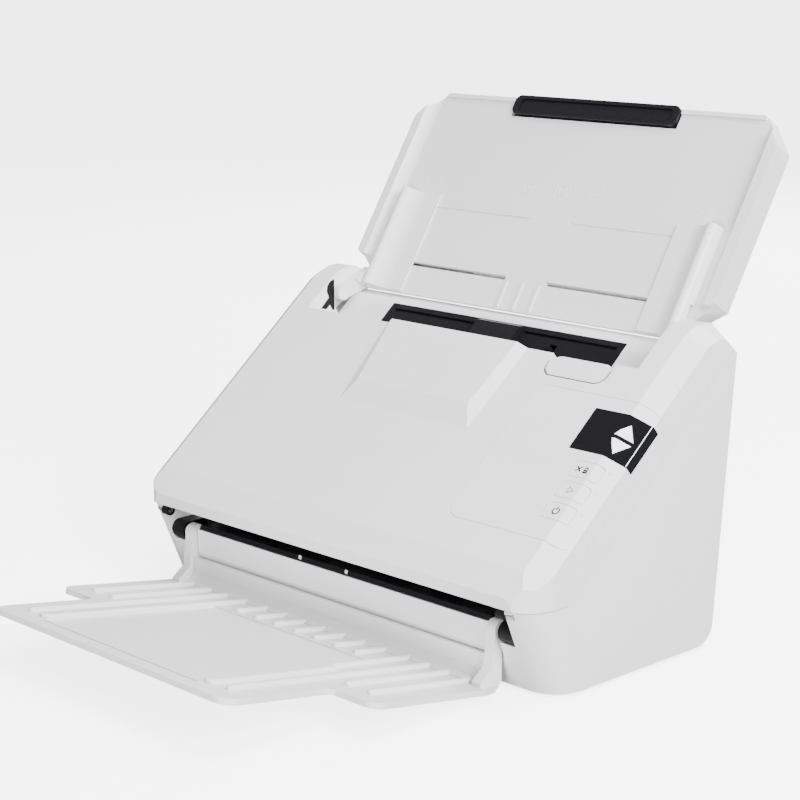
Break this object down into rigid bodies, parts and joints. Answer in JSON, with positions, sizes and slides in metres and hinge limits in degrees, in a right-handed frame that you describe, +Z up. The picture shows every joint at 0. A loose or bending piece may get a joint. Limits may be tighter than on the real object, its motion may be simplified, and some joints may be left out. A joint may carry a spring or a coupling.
{
  "type": "sheet fed document scanner",
  "caption": "Upright desktop document scanner with an opening front cover, folding input tray with sliding guides, and a ribbed output tray.",
  "frame": {"origin": "centre of the overall box at table level, under the feet", "axes": "+X to the right-hand side as seen by someone facing the scanner's front, -Y to the front where the sheets come out, +Z up"},
  "size_m": [0.3, 0.363, 0.2676],
  "materials": {
    "white_housing": "fine satin texture",
    "white_cover": "fine satin texture",
    "white_panel": "smooth satin",
    "white_tray": "fine satin texture",
    "white_guide": "smooth satin",
    "white_output": "fine satin texture",
    "white_nylon": "smooth",
    "grey_plastic": "fine texture",
    "soft_rubber": "matte",
    "roller_rubber": "fine ground",
    "belt_rubber": "matte",
    "zinc_steel": "zinc plated",
    "sheet_steel": "plated sheet",
    "shaft_steel": "ground",
    "black_guide": "fine texture",
    "black_gloss": "semi-gloss",
    "socket_black": "smooth",
    "display_black": "polished",
    "light_clear": "polished",
    "lit_white": "translucent white",
    "clear_glass": "polished",
    "board_green": "solder mask"
  },
  "bodies": {
    "base": {"base_housing": "white_housing", "rear_cover": "white_housing", "bottom_plate": "grey_plastic", "rubber_feet": "soft_rubber", "case_screws": "zinc_steel", "lower_paper_guide": "black_guide", "exit_apron": "black_guide", "feed_hood": "black_gloss", "side_frames": "sheet_steel", "shaft_bushes": "white_nylon", "drive_belt": "belt_rubber", "drive_motor": "sheet_steel", "motor_bracket": "sheet_steel", "rear_image_sensor": "black_guide", "rear_scan_glass": "clear_glass", "main_board": "board_green", "power_inlet": "socket_black", "usb_socket": "socket_black", "tray_brackets": "white_nylon", "tray_hinge_blocks": "socket_black", "cover_hinge_pins": "shaft_steel", "latch_strikers": "sheet_steel", "flag_carrier": "socket_black"},
    "paper_sensor_flag": {"paper_flag": "socket_black"},
    "feed_drive": {"feed_shaft": "shaft_steel", "feed_roller": "roller_rubber"},
    "transport_drive": {"transport_shaft": "shaft_steel", "transport_rollers": "roller_rubber"},
    "exit_drive": {"exit_shaft": "shaft_steel", "exit_rollers": "roller_rubber"},
    "motor_rotor": {"motor_shaft": "shaft_steel"},
    "cover": {"front_cover": "white_cover", "cover_hinge_lugs": "socket_black", "control_panel": "white_panel", "display_window": "display_black", "light_pipes": "light_clear", "upper_paper_guide": "black_guide", "front_image_sensor": "black_guide", "front_scan_glass": "clear_glass", "panel_board": "board_green"},
    "cover_latch": {"latch_bar": "shaft_steel"},
    "cover_lever": {"release_lever": "white_cover"},
    "cancel_key": {"cancel_button": "white_panel"},
    "scan_key": {"scan_button": "white_panel"},
    "power_key": {"power_button": "white_panel"},
    "up_key": {"up_button": "lit_white"},
    "down_key": {"down_button": "lit_white"},
    "transport_pinch": {"transport_pinch_roller": "white_nylon"},
    "exit_pinch": {"exit_pinch_roller": "white_nylon"},
    "separation": {"separation_roller": "roller_rubber"},
    "input_tray": {"tray_panel": "white_tray", "tray_back": "white_tray", "tray_pins": "white_nylon", "pinion_axle": "white_nylon"},
    "guide_gear": {"guide_pinion": "white_nylon"},
    "guide_right": {"right_guide": "white_guide"},
    "guide_left": {"left_guide": "white_guide"},
    "tray_pull_out": {"tray_extension": "black_gloss"},
    "exit_tray": {"output_tray": "white_output"},
    "sheet_stop": {"output_stopper": "white_output"}
  },
  "joints": [
    {"name": "cover_hinge", "type": "hinge", "parent": "base", "child": "cover", "pos_m": [0, -0.04047, 0.044], "axis": [1, 0, 0], "range_deg": [0, 60]},
    {"name": "input_tray_hinge", "type": "hinge", "parent": "base", "child": "input_tray", "pos_m": [0, 0.08703, 0.1535], "axis": [-1, 0, 0], "range_deg": [-145, 0]},
    {"name": "output_tray_hinge", "type": "hinge", "parent": "base", "child": "exit_tray", "pos_m": [0, -0.03097, 0.0315], "axis": [1, 0, 0], "range_deg": [-82, 0]},
    {"name": "stopper_hinge", "type": "hinge", "parent": "exit_tray", "child": "sheet_stop", "pos_m": [0, -0.17358, 0.02528], "axis": [-1, 0, 0], "range_deg": [0, 95]},
    {"name": "right_guide_slide", "type": "slide", "parent": "input_tray", "child": "guide_right", "axis": [-1, 0, 0], "range_m": [0, 0.06]},
    {"name": "left_guide_slide", "type": "slide", "parent": "input_tray", "child": "guide_left", "axis": [1, 0, 0], "range_m": [0, 0.06]},
    {"name": "guide_pinion_spin", "type": "hinge", "parent": "input_tray", "child": "guide_gear", "pos_m": [0, 0.1284, 0.18363], "axis": [0, -0.8443, 0.5358], "range_deg": [-290, 0]},
    {"name": "tray_extension_slide", "type": "slide", "parent": "input_tray", "child": "tray_pull_out", "axis": [0, 0.5358, 0.8443], "range_m": [0, 0.045]},
    {"name": "transport_spin", "type": "hinge", "parent": "base", "child": "transport_drive", "pos_m": [0, 0.03004, 0.08442], "axis": [1, 0, 0], "continuous": true},
    {"name": "feed_spin", "type": "hinge", "parent": "base", "child": "feed_drive", "pos_m": [0, 0.06761, 0.11125], "axis": [1, 0, 0], "continuous": true},
    {"name": "exit_spin", "type": "hinge", "parent": "base", "child": "exit_drive", "pos_m": [0, -0.01711, 0.04415], "axis": [1, 0, 0], "continuous": true},
    {"name": "motor_spin", "type": "hinge", "parent": "base", "child": "motor_rotor", "pos_m": [0, 0.05403, 0.0315], "axis": [1, 0, 0], "continuous": true},
    {"name": "transport_pinch_spin", "type": "hinge", "parent": "cover", "child": "transport_pinch", "pos_m": [0, 0.02205, 0.09377], "axis": [1, 0, 0], "continuous": true},
    {"name": "exit_pinch_spin", "type": "hinge", "parent": "cover", "child": "exit_pinch", "pos_m": [0, -0.02509, 0.0535], "axis": [1, 0, 0], "continuous": true},
    {"name": "separation_spin", "type": "hinge", "parent": "cover", "child": "separation", "pos_m": [0, 0.05541, 0.12554], "axis": [1, 0, 0], "continuous": true},
    {"name": "release_lever_press", "type": "hinge", "parent": "cover", "child": "cover_lever", "pos_m": [0, 0.0626, 0.13916], "axis": [1, 0, 0], "range_deg": [0, 3], "stiffness_Nm_per_rad": 0.4, "springref_deg": -5.73},
    {"name": "cover_latch_turn", "type": "hinge", "parent": "cover", "child": "cover_latch", "pos_m": [0, 0.05882, 0.13464], "axis": [1, 0, 0], "range_deg": [0, 5]},
    {"name": "cancel_press", "type": "slide", "parent": "cover", "child": "cancel_key", "axis": [0, 0.6388, -0.7694], "range_m": [0, 0.0006], "stiffness_N_per_m": 300, "springref_m": -0.0006},
    {"name": "scan_press", "type": "slide", "parent": "cover", "child": "scan_key", "axis": [0, 0.6388, -0.7694], "range_m": [0, 0.0006], "stiffness_N_per_m": 300, "springref_m": -0.0006},
    {"name": "power_press", "type": "slide", "parent": "cover", "child": "power_key", "axis": [0, 0.6388, -0.7694], "range_m": [0, 0.0006], "stiffness_N_per_m": 300, "springref_m": -0.0006},
    {"name": "up_press", "type": "slide", "parent": "cover", "child": "up_key", "axis": [0, 0.6388, -0.7694], "range_m": [0, 0.0006], "stiffness_N_per_m": 300, "springref_m": -0.0006},
    {"name": "down_press", "type": "slide", "parent": "cover", "child": "down_key", "axis": [0, 0.6388, -0.7694], "range_m": [0, 0.0006], "stiffness_N_per_m": 300, "springref_m": -0.0006},
    {"name": "paper_flag_turn", "type": "hinge", "parent": "base", "child": "paper_sensor_flag", "pos_m": [0, 0.09152, 0.13561], "axis": [1, 0, 0], "range_deg": [0, 20], "stiffness_Nm_per_rad": 0.002, "springref_deg": -11.46}
  ],
  "couplings": [
    {"joint": "left_guide_slide", "follows": "right_guide_slide", "ratio": 1},
    {"joint": "guide_pinion_spin", "follows": "right_guide_slide", "rad_per_m": -83.333},
    {"joint": "feed_spin", "follows": "transport_spin", "ratio": 1},
    {"joint": "exit_spin", "follows": "transport_spin", "ratio": 1},
    {"joint": "motor_spin", "follows": "transport_spin", "ratio": 1.5},
    {"joint": "cover_latch_turn", "follows": "release_lever_press", "ratio": 1}
  ]
}
